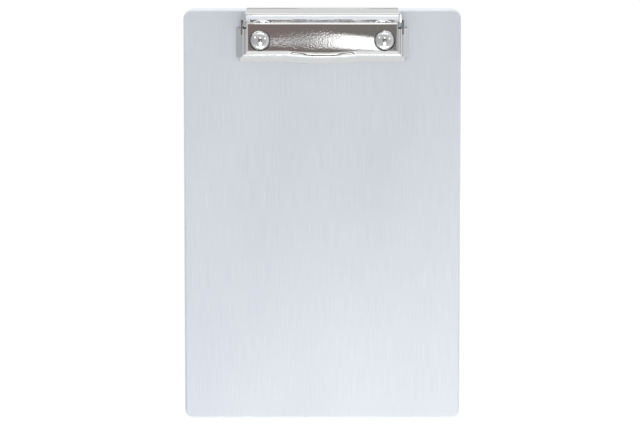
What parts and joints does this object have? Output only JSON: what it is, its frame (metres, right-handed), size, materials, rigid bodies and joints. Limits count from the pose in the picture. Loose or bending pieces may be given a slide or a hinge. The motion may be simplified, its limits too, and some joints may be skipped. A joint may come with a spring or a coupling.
{
  "type": "storage clipboard",
  "caption": "Slim aluminium case whose hinged lid is a writing plate with a sprung lever clip for A5 paper.",
  "frame": {"origin": "centre of the case's flat back face", "axes": "+X across the case, +Y along it towards the clip, +Z out of the writing face"},
  "size_m": [0.158, 0.2379, 0.0276],
  "materials": {
    "brushed_aluminium": "fine lengthwise brush, pale anodised",
    "case_aluminium": "satin, pale anodised",
    "rivet_aluminium": "bright, as headed",
    "hinge_steel": "satin",
    "zinc_steel": "bright zinc plate, faintly blue",
    "spring_steel": "hard drawn, zinc plated",
    "nickel_steel": "bright nickel plate"
  },
  "bodies": {
    "tray": {"tray": "case_aluminium", "hinge_leaf_tray": "hinge_steel", "hinge_pin": "hinge_steel", "hinge_rivets_tray": "rivet_aluminium", "catch_spring": "spring_steel", "catch_rivets": "rivet_aluminium"},
    "lid": {"lid": "brushed_aluminium", "hinge_leaf_lid": "hinge_steel", "hinge_rivets_lid": "rivet_aluminium", "clip_base_plate": "zinc_steel", "clip_pivot_pin": "zinc_steel", "clip_spring_left": "spring_steel", "clip_spring_right": "spring_steel", "clip_rivet_left": "nickel_steel", "clip_rivet_right": "nickel_steel", "rivet_washer_left": "zinc_steel", "rivet_washer_right": "zinc_steel"},
    "clamp": {"clamp_plate": "nickel_steel"}
  },
  "joints": [
    {"name": "lid_hinge", "type": "hinge", "parent": "tray", "child": "lid", "pos_m": [-0.0763, 0, 0.008], "axis": [0, -1, 0], "range_deg": [0, 120], "deforming": ["catch_spring"]},
    {"name": "clamp_pivot", "type": "hinge", "parent": "lid", "child": "clamp", "pos_m": [0, 0.1094, 0.01875], "axis": [-1, 0, 0], "range_deg": [0, 25], "stiffness_Nm_per_rad": 0.35, "springref_deg": -45.84, "deforming": ["clip_spring_left", "clip_spring_right"]}
  ]
}
